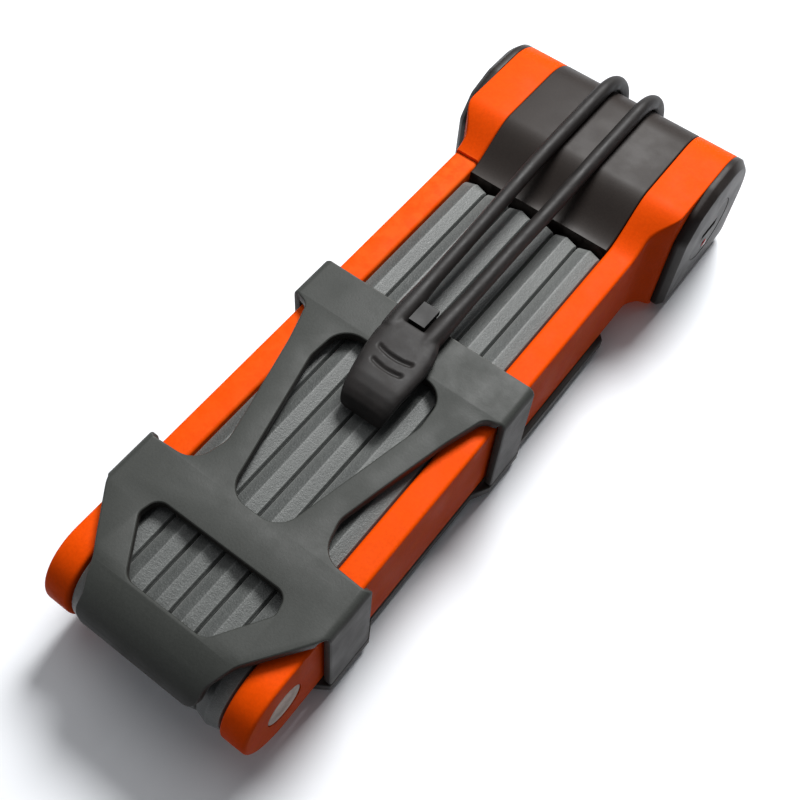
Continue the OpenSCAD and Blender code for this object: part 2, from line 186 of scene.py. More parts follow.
def fill_flat(bm, loops):
    """Flat face bounded by an outer loop of vertices and inner loops, its holes."""
    edges = []
    for loop in loops:
        for i, v in enumerate(loop):
            w = loop[(i + 1) % len(loop)]
            edges.append(bm.edges.get((v, w)) or bm.edges.new((v, w)))
    bmesh.ops.triangle_fill(bm, edges=edges, use_beauty=True, use_dissolve=False)


def circle_x(x, y, z, r, n=48):
    """Ring round an axis along X."""
    return [(x, y + r * math.cos(2 * math.pi * i / n), z + r * math.sin(2 * math.pi * i / n))
            for i in range(n)]


def lathe_x(bm, profile, y, z, n=48):
    """Solid of revolution round an axis along X from (x, r) pairs; both ends are closed."""
    rings = [add_ring(bm, circle_x(x, y, z, r, n)) for x, r in profile]
    for a, b in zip(rings, rings[1:]):
        bridge(bm, a, b)
    bm.faces.new(rings[0])
    bm.faces.new(list(reversed(rings[-1])))


def fillet_polygon(points, n=6):
    """Closed outline from (x, y, radius) corners, each rounded by its own radius."""
    out = []
    count = len(points)
    for i, (x, y, r) in enumerate(points):
        p = Vector((x, y))
        a = Vector(points[i - 1][:2])
        b = Vector(points[(i + 1) % count][:2])
        if r <= 0:
            out.append((x, y))
            continue
        u, w = (a - p).normalized(), (b - p).normalized()
        half = math.acos(max(-1, min(1, u.dot(w)))) / 2
        reach = min(r / math.tan(half), (a - p).length * 0.49, (b - p).length * 0.49)
        r = reach * math.tan(half)
        centre = p + (u + w).normalized() * (r / math.sin(half))
        s, e = p + u * reach - centre, p + w * reach - centre
        turn = s.angle_signed(e)
        for k in range(n + 1):
            out.append(tuple(centre + Matrix.Rotation(-turn * k / n, 2) @ s))
    return out


def moulded_sheet(outline, holes, thickness, bevel, top):
    """Flat moulding with rounded rims: outlines in (x, y), its front face at z = top."""
    curve = bpy.data.curves.new("sheet_outline", "CURVE")
    curve.dimensions = "2D"
    curve.fill_mode = "BOTH"
    curve.extrude = thickness / 2 - bevel
    curve.bevel_depth = bevel
    curve.bevel_resolution = 2
    curve.offset = -bevel
    for loop in [outline] + holes:
        spline = curve.splines.new("POLY")
        spline.points.add(len(loop) - 1)
        for pt, (x, y) in zip(spline.points, loop):
            pt.co = (x, y, 0, 1)
        spline.use_cyclic_u = True
    obj = bpy.data.objects.new("sheet_outline", curve)
    bpy.context.scene.collection.objects.link(obj)
    mesh = bpy.data.meshes.new_from_object(obj.evaluated_get(bpy.context.evaluated_depsgraph_get()))
    bm = bmesh.new()
    bm.from_mesh(mesh)
    bpy.data.objects.remove(obj)
    bpy.data.curves.remove(curve)
    bpy.data.meshes.remove(mesh)
    bmesh.ops.remove_doubles(bm, verts=bm.verts, dist=0.001)
    for v in bm.verts:
        v.co.z += top - thickness / 2
    return bm


def slice_mesh(bm, axis, places):
    """Cuts the mesh across an axis so that it can bend there."""
    normal = Vector((0, 0, 0))
    normal[axis] = 1
    for c in places:
        point = Vector((0, 0, 0))
        point[axis] = c
        bmesh.ops.bisect_plane(bm, geom=bm.verts[:] + bm.edges[:] + bm.faces[:],
                               plane_co=point, plane_no=normal)


def bevel_copy(name, node, material, body, width, segments=2):
    """Piece with softened edges made from one CAD node's own shape."""
    bm = bmesh.new()
    bm.from_mesh(NODES[node].data)
    for v in bm.verts:
        v.co = to_link(v.co)
    bmesh.ops.remove_doubles(bm, verts=bm.verts, dist=0.002)
    bmesh.ops.dissolve_limit(bm, angle_limit=math.radians(1.5), verts=bm.verts, edges=bm.edges)
    obj = piece(name, bm, material, body, [node], crease=40)
    mod = obj.modifiers.new("soft_edges", "BEVEL")
    mod.width = width * MM
    mod.segments = segments
    mod.limit_method = "ANGLE"
    mod.angle_limit = math.radians(32)
    mod.use_clamp_overlap = True


# ---------- materials ----------

class Nodes:
    """Small helper to wire a material's nodes."""

    # Sockets of the mix node that carry colours
    MIX_A, MIX_B, MIX_OUT = 6, 7, 2

    def __init__(self, name):
        self.mat = bpy.data.materials.new(name)
        self.mat.use_nodes = True
        self.tree = self.mat.node_tree
        self.shader = self.tree.nodes["Principled BSDF"]
        self.where = self.tree.nodes.new("ShaderNodeTexCoord").outputs["Object"]

    def add(self, kind, inputs=None, **settings):
        """New node; inputs are values or the sockets that feed it."""
        node = self.tree.nodes.new(kind)
        for key, value in settings.items():
            setattr(node, key, value)
        for key, value in (inputs or {}).items():
            self.set(node.inputs[key], value)
        return node

    def set(self, socket, value):
        if isinstance(value, bpy.types.NodeSocket):
            self.tree.links.new(value, socket)
        else:
            socket.default_value = value

    def noise(self, scale, detail=3.0, roughness=0.55, stretch=None):
        where = self.where
        if stretch:
            where = self.add("ShaderNodeMapping", {"Vector": where, "Scale": stretch}).outputs[0]
        node = self.add("ShaderNodeTexNoise", {"Vector": where, "Scale": scale, "Detail": detail,
                                               "Roughness": roughness})
        return node.outputs["Fac"]

    def grains(self, scale):
        node = self.add("ShaderNodeTexVoronoi", {"Vector": self.where, "Scale": scale})
        return node.outputs["Distance"]

    def ramp(self, fac, stops):
        """Colour ramp from (position, colour) pairs."""
        node = self.add("ShaderNodeValToRGB", {"Fac": fac})
        ramp = node.color_ramp
        while len(ramp.elements) < len(stops):
            ramp.elements.new(0.5)
        for e, (pos, colour) in zip(ramp.elements, stops):
            e.position = pos
            e.color = (*colour, 1)
        return node.outputs["Color"]

    def spread(self, fac, lo, hi, out_lo, out_hi):
        """Maps lo..hi onto out_lo..out_hi."""
        node = self.add("ShaderNodeMapRange", {"Value": fac, "From Min": lo, "From Max": hi,
                                               "To Min": out_lo, "To Max": out_hi})
        return node.outputs["Result"]

    def mix(self, fac, a, b):
        node = self.add("ShaderNodeMix", data_type="RGBA")
        self.set(node.inputs["Factor"], fac)
        for place, c in ((self.MIX_A, a), (self.MIX_B, b)):
            self.set(node.inputs[place], c if isinstance(c, bpy.types.NodeSocket) else (*c, 1))
        return node.outputs[self.MIX_OUT]

    def bump(self, height, distance, strength, below=None):
        inputs = {"Height": height, "Distance": distance, "Strength": strength}
        if below is not None:
            inputs["Normal"] = below
        return self.add("ShaderNodeBump", inputs).outputs["Normal"]

    def edge_wear_and_highlight(self, lo=0.53, hi=0.62):
        """1 along convex edges: where a finish rubs through, and a painted highlight where the edges would
        catch light.
        """
        edge = self.add("ShaderNodeNewGeometry").outputs["Pointiness"]
        return self.spread(edge, lo, hi, 0.0, 1.0)

    def facing(self, axis):
        """How far a face looks along one axis of its own object."""
        normal = self.add("ShaderNodeTexCoord").outputs["Normal"]
        return self.add("ShaderNodeSeparateXYZ", {0: normal}).outputs[axis]

    def finish(self, **values):
        """Feeds the shader's own inputs and returns the material."""
        for key, value in values.items():
            self.set(self.shader.inputs[key.replace("_", " ")], value)
        return self.mat


def moulded_plastic(name, dark, light, rough, grain=1500.0, grain_depth=0.00003,
                    wear_and_highlight_colour=None, specular=0.4, painted_flank_shade=None):
    """Injection-moulded plastic with a fine spark-eroded grain and faint flow marks.

    flank is painted shade: a darker colour for the faces that don't look up, where less light falls.
    """
    n = Nodes(name)
    cloud = n.noise(55.0, 4.0)
    fine = n.noise(grain, 2.0, 0.7)
    colour = n.ramp(cloud, [(0.3, dark), (0.7, light)])
    speck = n.spread(fine, 0.35, 0.65, 0.0, 0.35)
    colour = n.mix(speck, colour, tuple(min(1, c * 1.3 + 0.0005) for c in light))
    if painted_flank_shade:
        # Painted shade: faces that don't look up are darkened towards the flank colour.
        colour = n.mix(n.spread(n.facing("Z"), 0.35, 0.8, 0.85, 0.0), colour, painted_flank_shade)
    if wear_and_highlight_colour:
        # Lightened edges: rubbed-through plastic and a painted highlight along the edges.
        colour = n.mix(wear_and_highlight_mask(n), colour, wear_and_highlight_colour)
    normal = n.bump(fine, grain_depth, 0.9)
    normal = n.bump(n.noise(90.0, 2.0), 0.00003, 0.5, normal)
    return n.finish(Base_Color=colour, Roughness=n.spread(n.noise(130.0, 3.0), 0.35, 0.65, *rough),
                    Normal=normal, Specular_IOR_Level=specular)


def wear_and_highlight_mask(n):
    """Rubbed-through edges broken up by noise; the same lightening is also a painted highlight along the
    edges.
    """
    edge = n.edge_wear_and_highlight()
    patch = n.spread(n.noise(260.0, 4.0), 0.42, 0.6, 0.0, 0.55)
    return n.add("ShaderNodeMath", {0: edge, 1: patch}, operation="MULTIPLY").outputs[0]


def speckled_grip(name):
    """Textured cover of the inner links: coarse sparkle on a grey ground, with painted shade on the facets
    that look left and a painted highlight along the edges.
    """
    n = Nodes(name)
    cells = n.grains(1500.0)
    fine = n.noise(3000.0, 2.0, 0.75)
    ground = n.ramp(n.noise(40.0, 3.0), [(0.3, (0.07, 0.075, 0.072)), (0.7, (0.1, 0.107, 0.102))])
    sparkle = n.spread(fine, 0.5, 0.75, 0.0, 0.55)
    colour = n.mix(sparkle, ground, (0.25, 0.262, 0.255))
    # Painted shade: faces that look towards -X, the left halves of each roof, are darkened.
    colour = n.mix(n.spread(n.facing("X"), -0.2, 0.2, 0.4, 0.0), colour, (0.02, 0.022, 0.021))
    pits = n.spread(cells, 0.0, 0.35, 0.55, 0.0)
    colour = n.mix(pits, colour, (0.05, 0.055, 0.055))
    # Painted highlight along the convex edges, together with rubbed-through edges.
    colour = n.mix(n.edge_wear_and_highlight(0.52, 0.58), colour, (0.36, 0.37, 0.36))
    normal = n.bump(fine, 0.00009, 1.0)
    normal = n.bump(cells, 0.00005, 0.6, normal)
    return n.finish(Base_Color=colour, Roughness=n.spread(fine, 0.3, 0.7, 0.38, 0.62), Normal=normal,
                    Specular_IOR_Level=0.55)


def soft_rubber(name, dark, light, rough):
    """Matt rubber, dusty in places, with a faintly uneven skin."""
    n = Nodes(name)
    dust = n.noise(220.0, 5.0, 0.65)
    colour = n.ramp(dust, [(0.35, dark), (0.75, light)])
    normal = n.bump(n.noise(900.0, 3.0), 0.00002, 0.8)
    normal = n.bump(n.noise(60.0, 2.0), 0.00012, 0.4, normal)
    return n.finish(Base_Color=colour, Roughness=n.spread(dust, 0.35, 0.7, *rough), Normal=normal,
                    Specular_IOR_Level=0.3)


def turned_metal(name, dark, light, rough, stretch=(1, 1, 14), metallic=1.0):
    """Metal with fine tool marks and a slightly uneven colour."""
    n = Nodes(name)
    marks = n.noise(420.0, 4.0, 0.6, stretch)
    stain = n.noise(160.0, 4.0)
    colour = n.mix(n.spread(stain, 0.3, 0.7, 0.0, 1.0), dark, light)
    normal = n.bump(marks, 0.00002, 0.7)
    return n.finish(Base_Color=colour, Metallic=metallic,
                    Roughness=n.spread(marks, 0.3, 0.7, rough - 0.07, rough + 0.09), Normal=normal)


def clear_colour(name, dark, light):
    """Glossy red plastic of the dust cover's knob."""
    n = Nodes(name)
    colour = n.ramp(n.noise(500.0, 3.0), [(0.3, dark), (0.7, light)])
    return n.finish(Base_Color=colour, Roughness=n.spread(n.noise(700.0), 0.3, 0.7, 0.16, 0.26),
                    Normal=n.bump(n.noise(350.0), 0.00001, 0.5), Coat_Weight=0.5)


# The edge colours given to these plastics are both rubbed-through edges and a painted highlight along the
# edges.
ORANGE = moulded_plastic("orange_soft_touch", (0.77, 0.066, 0.0), (0.81, 0.073, 0.0002), rough=(0.5, 0.6),
                         grain=1300.0, grain_depth=0.000012, wear_and_highlight_colour=(0.9, 0.16, 0.02), specular=0.05)
# The flank colours of the cage, head and caps are painted shade on their faces that don't look up.
CAGE_GREY = moulded_plastic("cage_grain", (0.037, 0.04, 0.036), (0.042, 0.045, 0.041), rough=(0.5, 0.62),
                            grain=1700.0, grain_depth=0.00003, wear_and_highlight_colour=(0.12, 0.118, 0.11), specular=0.3,
                            painted_flank_shade=(0.014, 0.011, 0.009))
BACK_BLACK = moulded_plastic("back_grain", (0.02, 0.018, 0.016), (0.028, 0.025, 0.022), rough=(0.5, 0.62),
                             grain=1500.0, grain_depth=0.00003, wear_and_highlight_colour=(0.09, 0.08, 0.07), specular=0.3)
HEAD_GREY = moulded_plastic("head_satin", (0.02, 0.015, 0.013), (0.026, 0.02, 0.017), rough=(0.46, 0.54),
                            grain=2000.0, grain_depth=0.000012, wear_and_highlight_colour=(0.11, 0.1, 0.09), specular=0.2,
                            painted_flank_shade=(0.009, 0.005, 0.004))
CAP_BLACK = moulded_plastic("cap_satin", (0.017, 0.013, 0.012), (0.024, 0.02, 0.018), rough=(0.4, 0.5),
                            grain=1800.0, grain_depth=0.000015, wear_and_highlight_colour=(0.1, 0.09, 0.085), specular=0.2,
                            painted_flank_shade=(0.008, 0.004, 0.003))
GRIP = speckled_grip("link_texture")
RUBBER = soft_rubber("strap_rubber", (0.012, 0.0105, 0.01), (0.021, 0.018, 0.017), rough=(0.5, 0.62))
PAD = soft_rubber("pad_rubber", (0.012, 0.012, 0.012), (0.022, 0.022, 0.021), rough=(0.6, 0.75))
PEG_BLACK = moulded_plastic("peg_gloss", (0.008, 0.0075, 0.007), (0.012, 0.0115, 0.011), rough=(0.4, 0.5),
                            grain=900.0, grain_depth=0.000006, specular=0.25)
STEEL = turned_metal("plated_steel", (0.42, 0.41, 0.39), (0.6, 0.59, 0.57), 0.32)
HARD_STEEL = turned_metal("hardened_plate", (0.3, 0.3, 0.31), (0.42, 0.42, 0.43), 0.42, (1, 14, 1))
BRASS = turned_metal("cylinder_brass", (0.62, 0.42, 0.17), (0.78, 0.57, 0.27), 0.28, (10, 1, 1))
RIVET = turned_metal("browned_rivet", (0.16, 0.12, 0.1), (0.24, 0.19, 0.16), 0.4, (8, 1, 1), metallic=0.85)
NYLON = moulded_plastic("washer_nylon", (0.62, 0.6, 0.52), (0.72, 0.7, 0.62), rough=(0.4, 0.5))
RED = clear_colour("knob_red", (0.55, 0.008, 0.008), (0.72, 0.015, 0.012))


# ---------- links ----------

SIDE_GAP = 0.15
SEAM_GAP = 0.2
JOIN_Y = 128
OUTER_HALF_T = (STACK_HALF - CORE_HALF - SIDE_GAP) / 2
INNER_HALF_T = (high("link_cover_3").x - low("link_cover_3").x) / 2
RIM_R = 0.9
HEAD_SINK_R, HEAD_SINK_D = 5.3, 1.15
WASHER_SINK_R, WASHER_SINK_D = 7.1, 0.5


def link_mid(k):
    """Middle plane of link k."""
    return (low("link_core_%d" % k).x + high("link_core_%d" % k).x) / 2


def pivot_place(p):
    """Odd pivots are at the tail, even ones at the head."""
    return 0.0 if p % 2 else SPAN


def round_rim(half_t, r0, r1):
    """Across the edge of an outer link: (x, depth) with a rounded corner at each side."""
    angles = [math.pi / 2 * i / 4 for i in range(5)]
    left = [(-half_t + r0 - r0 * math.cos(a), r0 - r0 * math.sin(a)) for a in angles]
    right = [(half_t - r1 + r1 * math.sin(a), r1 - r1 * math.cos(a)) for a in angles]
    return left + right


def roof_rim(half_t):
    """Across the edge of an inner link: a shallow roof over steep bevels."""
    left = [(-half_t, 1.9), (-half_t + 0.08, 1.5), (-half_t + 0.28, 0.95), (-half_t + 0.38, 0.8),
            (-half_t + 0.52, 0.74)]
    crown = [(-0.35, 0.1), (-0.1, 0.035), (0.1, 0.035), (0.35, 0.1)]
    return left + crown + [(-x, d) for x, d in reversed(left)]


def turn(cy, cz, r, a0, a1, steps):
    """Stations round an arc: its centre, radius and outward direction."""
    angles = [math.radians(a0 + (a1 - a0) * i / steps) for i in range(steps + 1)]
    return [(cy, cz, r, math.cos(a), math.sin(a)) for a in angles]


def bar_stations():
    """Round an inner link: round at the tail, squared off at the head."""
    y = TIP_Y - TIP_R
    return (turn(0, MID_Z, END_R, 90, 270, 20) + turn(y, TIP_R - LINK_H, TIP_R, -90, 0, 6)
            + turn(y, -TIP_R, TIP_R, 0, 90, 6))


def outer_stations(y_end):
    """Along an outer link: from its head end round the tail and back."""
    return ([(y_end, MID_Z, END_R, 0, 1)] + turn(0, MID_Z, END_R, 90, 270, 28)
            + [(y_end, MID_Z, END_R, 0, -1)])


def link_faces(bm, k, loops, half_t):
    """Closes both sides of a link, with its rivet and washer recesses."""
    x = link_mid(k)
    for side, loop in zip((-1, 1), loops):
        holes = []
        for p in (k - 1, k):
            if not 1 <= p <= 7:
                continue
            has_head = (p == k) == (side == 1)
            r, depth = (HEAD_SINK_R, HEAD_SINK_D) if has_head else (WASHER_SINK_R, WASHER_SINK_D)
            rim = add_ring(bm, circle_x(x + side * half_t, pivot_place(p), MID_Z, r))
            floor = add_ring(bm, circle_x(x + side * (half_t - depth), pivot_place(p), MID_Z, r))
            bridge(bm, rim, floor)
            bm.faces.new(floor)
            holes.append(rim)
        fill_flat(bm, [loop] + holes)


def swept_rim(bm, stations, rim, x, closed):
    """Carries a rim's section along the stations; returns its rows of vertices."""
    rows = []
    for cy, cz, r, ny, nz in stations:
        rows.append(add_ring(bm, [(x + dx, cy + (r - d) * ny, cz + (r - d) * nz) for dx, d in rim]))
    pairs = list(zip(rows, rows[1:])) + ([(rows[-1], rows[0])] if closed else [])
    for a, b in pairs:
        bridge(bm, a, b, closed=False)
    return rows


def inner_link(k):
    """Grey bar, moulded over its steel core."""
    bm = bmesh.new()
    rim = roof_rim(INNER_HALF_T)
    rows = swept_rim(bm, bar_stations(), rim, link_mid(k), True)
    link_faces(bm, k, [[r[i] for r in rows] for i in (0, -1)], INNER_HALF_T)
    piece("bar_%d" % k, bm, GRIP, "link_%d" % k, ["link_cover_%d" % k], crease=22)


def head_top_z(y):
    """Top of the head: a smooth rise, a flat and a quarter round down the back."""
    if y <= FLAT_Y:
        return HEAD_TOP * ease((y - HEAD_FRONT) / (BEND_Y - HEAD_FRONT))
    t = min(1.0, (y - FLAT_Y) / (HEAD_BACK - FLAT_Y))
    return ROUND_Z + (HEAD_TOP - ROUND_Z) * math.sqrt(max(0.0, 1 - t * t))


def head_low_z(y):
    """Underside of the head: a small step down, then a rounded back edge."""
    if y <= HEAD_BACK - BOTTOM_R:
        t = ease((y - BELLY_Y[0]) / (BELLY_Y[1] - BELLY_Y[0]))
        return -LINK_H + (HEAD_LOW + LINK_H) * t
    t = min(1.0, (y - HEAD_BACK + BOTTOM_R) / BOTTOM_R)
    return HEAD_LOW + BOTTOM_R * (1 - math.sqrt(max(0.0, 1 - t * t)))


def flare(y):
    """0 where a shoulder is flush with its link, 1 where it has reached the cap."""
    return ease((y - FLARE_Y[0]) / (FLARE_Y[1] - FLARE_Y[0]))


def shoulder_out(y):
    """Outer face of a shoulder."""
    return STACK_HALF + (HEAD_HALF - STACK_HALF) * flare(y)


def head_stations(y0):
    """Stations along the head, closer together where its outline turns."""
    ys = [y0 + (BELLY_Y[1] + 1 - y0) * i / 22 for i in range(23)]
    ys += [157, 162, 167]
    ys += [FLAT_Y + (HEAD_BACK - FLAT_Y) * math.sin(math.pi / 2 * i / 16) for i in range(17)]
    return ys


def head_ring(y, x0, x1, r0, r1):
    """Section of a head piece at y: rounded along its four edges."""
    mid = (x0 + x1) / 2
    rim = round_rim((x1 - x0) / 2, r0, r1)
    top, bottom = head_top_z(y), head_low_z(y)
    upper = [(mid + x, y, top - d) for x, d in rim]
    lower = [(mid + x, y, bottom + d) for x, d in reversed(rim)]
    return upper + lower


def outer_link(k):
    """Link 8, or link 1 with its shoulder moulded on in one piece."""
    bm = bmesh.new()
    x = link_mid(k)
    join_y = JOIN_Y if k == 1 else SEAM_Y - SEAM_GAP
    rim = round_rim(OUTER_HALF_T, RIM_R, RIM_R)
    rows = swept_rim(bm, outer_stations(join_y), rim, x, False)
    link_faces(bm, k, [[r[i] for r in rows] for i in (0, -1)], OUTER_HALF_T)
    end = rows[0] + list(reversed(rows[-1]))
    if k == 8:
        bm.faces.new(end)
        piece("orange_link_8", bm, ORANGE, "link_8", ["link_cover_8"], crease=40)
        return
    last = end
    for y in head_stations(HEAD_FRONT):
        r0, r1 = RIM_R - 0.55 * flare(y), RIM_R - 0.5 * flare(y)
        ring = add_ring(bm, head_ring(y, x - OUTER_HALF_T, shoulder_out(y), r0, r1))
        bridge(bm, last, ring)
        last = ring
    bm.faces.new(list(reversed(last)))
    piece("orange_link_1", bm, ORANGE, "lock_body", ["link_cover_1"], crease=40)


# ---------- lock head ----------

# Slot for link 8's tongue, and the wider notch behind it that the bolt drops in
POCKET_X = (-27.6, -21.8)
POCKET_Z = (-20.5, -4.5)
NOTCH_Y = (149.4, 178.2)
NOTCH_Z = (-21.0, 4.2)
COVER_SINK_R = 9.6


def left_shoulder():
    """Shoulder that takes the free end of link 8, with the slot for its tongue."""
    bm = bmesh.new()
    made = []
    for y in head_stations(SEAM_Y):
        r0, r1 = RIM_R - 0.5 * flare(y), RIM_R - 0.55 * flare(y)
        made.append(add_ring(bm, head_ring(y, -shoulder_out(y), -CORE_HALF, r0, r1)))
    for a, b in zip(made, made[1:]):
        bridge(bm, a, b)
    bm.faces.new(list(reversed(made[-1])))
    pocket = []
    x0, x1 = POCKET_X
    for y, (z0, z1) in ((SEAM_Y, POCKET_Z), (NOTCH_Y[0], POCKET_Z), (NOTCH_Y[0], NOTCH_Z),
                        (NOTCH_Y[1], NOTCH_Z)):
        pocket.append(add_ring(bm, [(x0, y, z0), (x1, y, z0), (x1, y, z1), (x0, y, z1)]))
    for a, b in zip(pocket, pocket[1:]):
        bridge(bm, a, b)
    bm.faces.new(pocket[-1])
    fill_flat(bm, [made[0], pocket[0]])
    piece("orange_shoulder_left", bm, ORANGE, "lock_body", ["shoulder_left"], crease=40)


def head_block():
    """Dark middle of the head, grooved underneath for the holder's tongue."""
    groove_half, groove_top = 11.6, -24.4
    bm = bmesh.new()
    rings = []
    for y in head_stations(HEAD_FRONT):
        ring = head_ring(y, -CORE_HALF, CORE_HALF, 0.4, 0.4)
        half = len(ring) // 2
        low_z, top = head_low_z(y), max(groove_top, head_low_z(y) + 0.1)
        groove = [(groove_half, y, low_z), (groove_half, y, top), (-groove_half, y, top),
                  (-groove_half, y, low_z)]
        cut = half + half // 2
        rings.append(ring[:cut] + groove + ring[cut:])
    loft(bm, rings)
    piece("head_block", bm, HEAD_GREY, "lock_body", ["head_core"], crease=32)


def cap_loop(inset):
    """Outline of a side cap in (y, z), drawn in by an inset."""
    close_y = 180
    front = fillet_polygon([(153, HEAD_LOW, 2.5), (150.6, -27, 2.5), (150.6, -2, 5), (155.5, 5, 5),
                            (164, HEAD_TOP, 7), (close_y, HEAD_TOP, 0), (close_y, HEAD_LOW, 0)])
    front = [p for p in front if p[0] < close_y - 1]
    back = arc(FLAT_Y, ROUND_Z, HEAD_BACK - FLAT_Y, HEAD_TOP - ROUND_Z, 88, 0, 20)
    foot = arc(HEAD_BACK - BOTTOM_R, HEAD_LOW + BOTTOM_R, BOTTOM_R, BOTTOM_R, 0, -90, 8)
    loop = front + back + foot
    out = []
    for i, p in enumerate(loop):
        a, b, c = Vector(loop[i - 1]), Vector(p), Vector(loop[(i + 1) % len(loop)])
        u, w = (b - a).normalized(), (c - b).normalized()
        n = Vector((u.y + w.y, -u.x - w.x)).normalized()
        out.append(tuple(b + n * inset / max(0.5, n.dot(Vector((u.y, -u.x))))))
    return out


def side_cap(side):
    """Black cap with a broad chamfer; the right one holds the dust cover."""
    bm = bmesh.new()
    out = CAP_OUT - HEAD_HALF
    steps = [(0.0, 0.25), (0.12, 0.04), (0.3, 0.0), (out - 1.95, 0.0), (out - 1.65, 0.12),
             (out - 0.3, 1.4), (out - 0.08, 1.68), (out, 2.0)]
    rings = [add_ring(bm, [(side * (HEAD_HALF + x), y, z) for y, z in cap_loop(inset)])
             for x, inset in steps]
    for a, b in zip(rings, rings[1:]):
        bridge(bm, a, b)
    bm.faces.new(rings[0])
    if side == 1:
        rim = add_ring(bm, circle_x(CAP_OUT, KEY_Y, KEY_Z, COVER_SINK_R + 0.15))
        lip = add_ring(bm, circle_x(CAP_OUT - 0.12, KEY_Y, KEY_Z, COVER_SINK_R))
        floor = add_ring(bm, circle_x(HEAD_HALF + 0.5, KEY_Y, KEY_Z, COVER_SINK_R))
        bridge(bm, rim, lip)
        bridge(bm, lip, floor)
        bm.faces.new(floor)
        fill_flat(bm, [rings[-1], rim])
    else:
        bm.faces.new(rings[-1])
    name = "right" if side == 1 else "left"
    piece("side_cap_" + name, bm, CAP_BLACK, "lock_body", ["cap_" + name], crease=24)


def dust_parts():
    """Turning dust cover and its red knob."""
    bevel_copy("dust_shutter", "dust_cover", CAP_BLACK, "shutter", 0.25)
    x0, x1 = low("dust_knob").x, high("dust_knob").x
    z = (low("dust_knob").z + high("dust_knob").z) / 2
    profile = [(x0, 1.27), (x1 - 0.45, 1.27), (x1 - 0.2, 1.12), (x1 - 0.05, 0.8), (x1, 0.3)]
    bm = bmesh.new()
    lathe_x(bm, profile, KEY_Y, z, 32)
    piece("shutter_knob", bm, RED, "shutter", ["dust_knob"])


# ---------- rivets ----------

def rivet_piece(p):
    """Rivet with softly rounded, slightly dished heads."""
    node = "rivet_%d" % p
    x0, x1 = low(node).x, high(node).x
    head = [(0.0, 2.2), (0.1, 2.6), (0.12, 4.7), (0.0, 4.95), (0.12, 5.15), (0.3, 5.2), (1.0, 5.2),
            (1.0, 3.5)]
    profile = [(x0 + x, r) for x, r in head] + [(x1 - x, r) for x, r in reversed(head)]
    bm = bmesh.new()
    lathe_x(bm, profile, pivot_place(p), MID_Z)
    body = "lock_body" if p == 1 else "link_%d" % p
    piece("rivet_spun_%d" % p, bm, RIVET, body, [node], crease=30)


# ---------- holder ----------

def cage_outline():
    """Right half of the cage laid out flat as (x, y, corner radius), walls and tail lip unfolded."""
    side = BEND_X + BEND_RUN + (PLATE_TOP - SIDE_BEND - BACK_TOP)
    tail = -LIP_R * LIP_ANGLE
    return [
        (side, WALL_UPPER[1], 1.2), (side, WALL_UPPER[0], 1.2), (29.5, WALL_UPPER[0], 1.2),
        (25.6, 73.2, 3.2), (22.4, 63.0, 30.0), (17.6, 43.0, 20.0), (15.6, 34.0, 6.5), (17.8, 25.4, 6.0),
        (29.0, WALL_LOWER[1] - 1.2, 3.0), (31.5, WALL_LOWER[1], 1.0), (side, WALL_LOWER[1], 1.2),
        (side, WALL_LOWER[0], 1.2), (30.2, WALL_LOWER[0], 0.8), (19.2, -3.4, 7.0), (LIP_HALF, -10.5, 5.0),
        (LIP_HALF, tail, 5.5),
    ]


def bend_cage(co):
    """Moves a point of the flat layout to its place on the folded moulding."""
    x, y, z = co
    depth = PLATE_TOP - z
    run = abs(x) - BEND_X
    depth *= 1 - (1 - SIDE_T / CAGE_T) * ease((run + 4) / 4)
    if run > 0:
        angle = min(run / SIDE_BEND, math.pi / 2)
        r = max(0.1, SIDE_BEND - depth)
        drop = max(0.0, run - BEND_RUN)
        return ((BEND_X + r * math.sin(angle)) * (1 if x > 0 else -1), y,
                PLATE_TOP - SIDE_BEND + r * math.cos(angle) - drop)
    if y < 0:
        angle = -y / LIP_R
        r = LIP_R - depth
        return (x, -r * math.sin(angle), MID_Z + r * math.cos(angle))
    return (x, y, z)


def cage():
    """Front cage: a flat moulding with two windows, folded over the links and the tail."""
    half = cage_outline()
    outline = fillet_polygon(half + [(-x, y, r) for x, y, r in reversed(half)], 8)
    trapezoid = fillet_polygon([(-17.4, 14.2, 3.2), (17.4, 14.2, 3.2), (18.4, 9.4, 2.4), (10.4, -2.9, 3.2),
                                (-10.4, -2.9, 3.2), (-18.4, 9.4, 2.4)])
    teardrop = fillet_polygon([(-14.6, 73.6, 6.5), (14.6, 73.6, 6.5), (15.4, 62.5, 6.0), (6.9, 24.3, 6.0),
                               (-6.9, 24.3, 6.0), (-15.4, 62.5, 6.0)], 10)
    bm = moulded_sheet(outline, [trapezoid, teardrop], CAGE_T, 0.55, PLATE_TOP)
    fold = [BEND_X + BEND_RUN * i / 8 for i in range(9)]
    slice_mesh(bm, 0, fold + [-c for c in fold])
    slice_mesh(bm, 1, [-1.2 * i for i in range(15)])
    for v in bm.verts:
        v.co = Vector(bend_cage(v.co))
    piece("cage_moulding", bm, CAGE_GREY, "holder", ["holder_cage"], crease=28)


def pads():
    """Two rubber pads, cross-ribbed where they grip the frame tube."""
    lo, hi = low("frame_pads"), high("frame_pads")
    length = 17.0
    ribs = 9
    root_z = lo.z + 0.7
    w = length / ribs / 2
    bm = bmesh.new()
    for y0 in (lo.y, hi.y - length):
        outline = [(y0, hi.z), (y0, root_z)]
        for i in range(ribs):
            c = y0 + length * (i + 0.5) / ribs
            outline += [(c - w * 0.75, root_z), (c - w * 0.45, lo.z), (c + w * 0.45, lo.z),
                        (c + w * 0.75, root_z)]
        outline += [(y0 + length, root_z), (y0 + length, hi.z)]
        loft(bm, [[(x, y, z) for y, z in outline] for x in (lo.x, hi.x)])
    piece("ribbed_pads", bm, PAD, "holder", ["frame_pads"], crease=25)


# ---------- strap ----------

